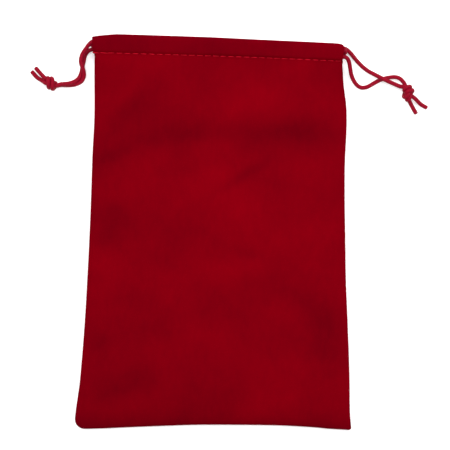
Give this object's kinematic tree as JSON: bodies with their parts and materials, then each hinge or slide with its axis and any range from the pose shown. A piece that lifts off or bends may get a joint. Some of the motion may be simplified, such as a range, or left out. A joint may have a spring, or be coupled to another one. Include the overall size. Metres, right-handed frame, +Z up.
{
  "type": "drawstring dice bag",
  "caption": "Flat velvet drawstring pouch for dice, lying empty, with a hemmed casing and a knotted cord coming out at each side of the mouth.",
  "frame": {"origin": "middle of the bag's footprint, cords left out, on the surface it lies on", "axes": "+X along the mouth, +Y from the bottom fold to the mouth, +Z up through the front panel"},
  "size_m": [0.1964, 0.1935, 0.0131],
  "materials": {
    "velvet": "short-pile cotton velvet, soft sheen, deep crimson",
    "cord": "round braided cord, satin, slightly pinker crimson than the velvet",
    "thread": "spun polyester sewing thread, brighter red"
  },
  "bodies": {
    "bag": {"back_panel": "velvet", "front_panel": "velvet", "bottom_fold": "velvet", "back_casing": "velvet", "front_casing": "velvet", "left_seam_allowance": "velvet", "right_seam_allowance": "velvet", "front_hem_stitching": "thread", "back_hem_stitching": "thread", "left_seam_stitching": "thread", "right_seam_stitching": "thread"},
    "left_drawcord_body": {"left_drawcord": "cord", "left_cord_knot": "cord", "left_cord_tails": "cord"},
    "right_drawcord_body": {"right_drawcord": "cord", "right_cord_knot": "cord", "right_cord_tails": "cord"}
  },
  "joints": [
    {"name": "left_cord_pull", "type": "slide", "parent": "bag", "child": "left_drawcord_body", "axis": [-1, 0, 0], "range_m": [0, 0.038], "deforming": ["front_casing", "back_casing"]},
    {"name": "right_cord_pull", "type": "slide", "parent": "bag", "child": "right_drawcord_body", "axis": [1, 0, 0], "range_m": [0, 0.038], "deforming": ["front_casing", "back_casing"]}
  ]
}
